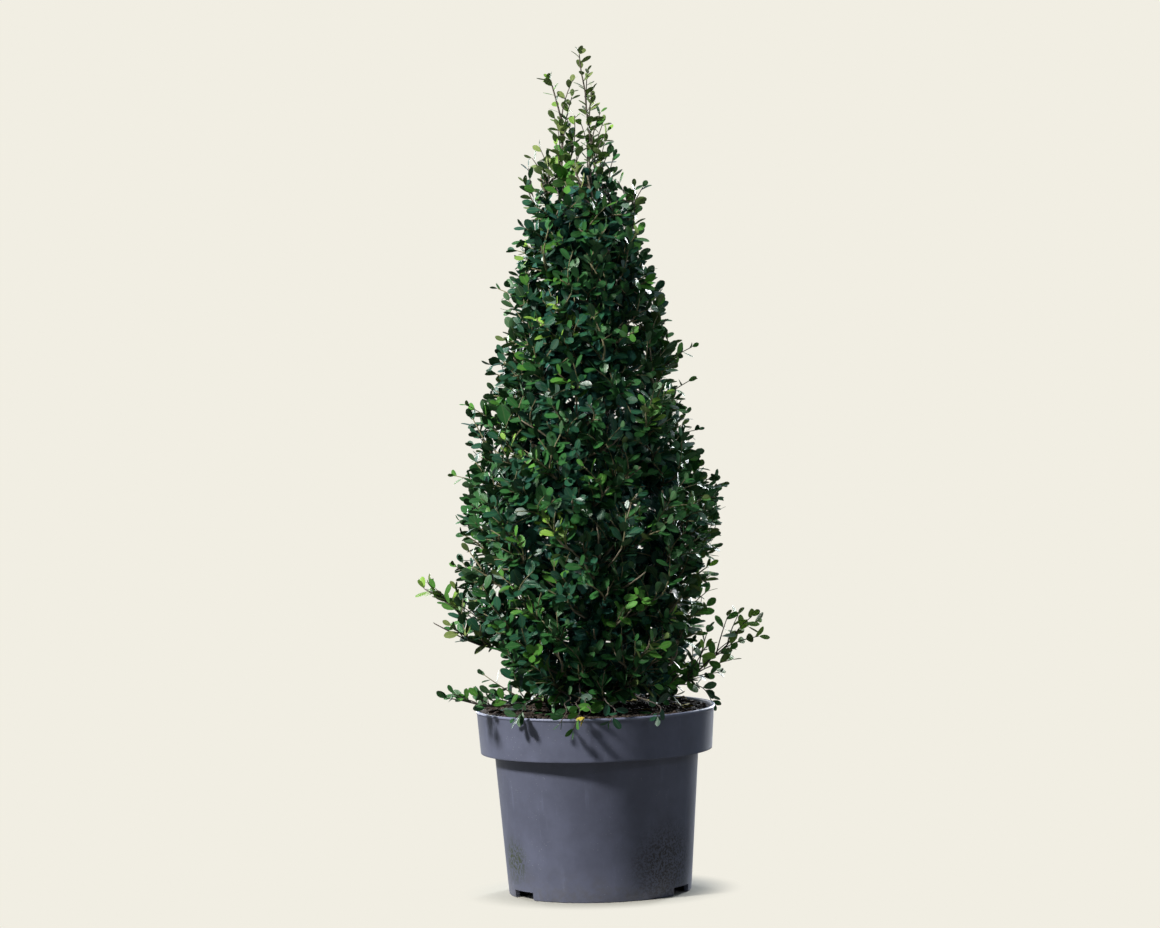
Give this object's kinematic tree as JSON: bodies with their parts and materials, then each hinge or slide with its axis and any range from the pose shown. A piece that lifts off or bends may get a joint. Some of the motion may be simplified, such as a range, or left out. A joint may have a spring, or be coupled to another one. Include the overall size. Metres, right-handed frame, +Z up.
{
  "type": "potted japanese holly cone topiary",
  "caption": "Small-leaved evergreen clipped to a loose cone with wilder tips and low side shoots, in a grey plastic nursery pot with a deep stepped rim.",
  "frame": {"origin": "centre of the pot's flat underside", "axes": "+Z up along the pot's axis, -Y towards the front, +X to the right seen from the front"},
  "size_m": [0.4141, 0.306, 0.9834],
  "materials": {
    "pot_plastic": "satin",
    "potting_soil": "matte",
    "bark": "matte",
    "foliage": "satin"
  },
  "bodies": {
    "root": {"bough_back_left": "bark", "bough_back_right": "bark", "bough_left_high": "bark", "bough_left_low": "bark", "bough_left_rim": "bark", "bough_lower_1": "bark", "bough_lower_2": "bark", "bough_lower_3": "bark", "bough_lower_4": "bark", "bough_lower_5": "bark", "bough_middle_1": "bark", "bough_middle_2": "bark", "bough_middle_3": "bark", "bough_middle_4": "bark", "bough_right": "bark", "bough_skirt_1": "bark", "bough_skirt_2": "bark", "bough_skirt_3": "bark", "bough_skirt_4": "bark", "bough_upper_1": "bark", "bough_upper_2": "bark", "bough_upper_3": "bark", "foliage_lower_1": "foliage", "foliage_lower_2": "foliage", "foliage_lower_3": "foliage", "foliage_lower_4": "foliage", "foliage_lower_5": "foliage", "foliage_middle_1": "foliage", "foliage_middle_2": "foliage", "foliage_middle_3": "foliage", "foliage_middle_4": "foliage", "foliage_skirt_1": "foliage", "foliage_skirt_2": "foliage", "foliage_skirt_3": "foliage", "foliage_skirt_4": "foliage", "foliage_top_back": "foliage", "foliage_top_front": "foliage", "foliage_top_left": "foliage", "foliage_top_right": "foliage", "foliage_upper_1": "foliage", "foliage_upper_2": "foliage", "foliage_upper_3": "foliage", "leader_left": "bark", "leader_right": "bark", "main_stem": "bark", "pot": "pot_plastic", "potting_soil": "potting_soil", "spray_back_left": "foliage", "spray_back_right": "foliage", "spray_left_high": "foliage", "spray_left_low": "foliage", "spray_left_rim": "foliage", "spray_right": "foliage", "tip_left": "foliage", "tip_main": "foliage"}
  },
  "joints": []
}
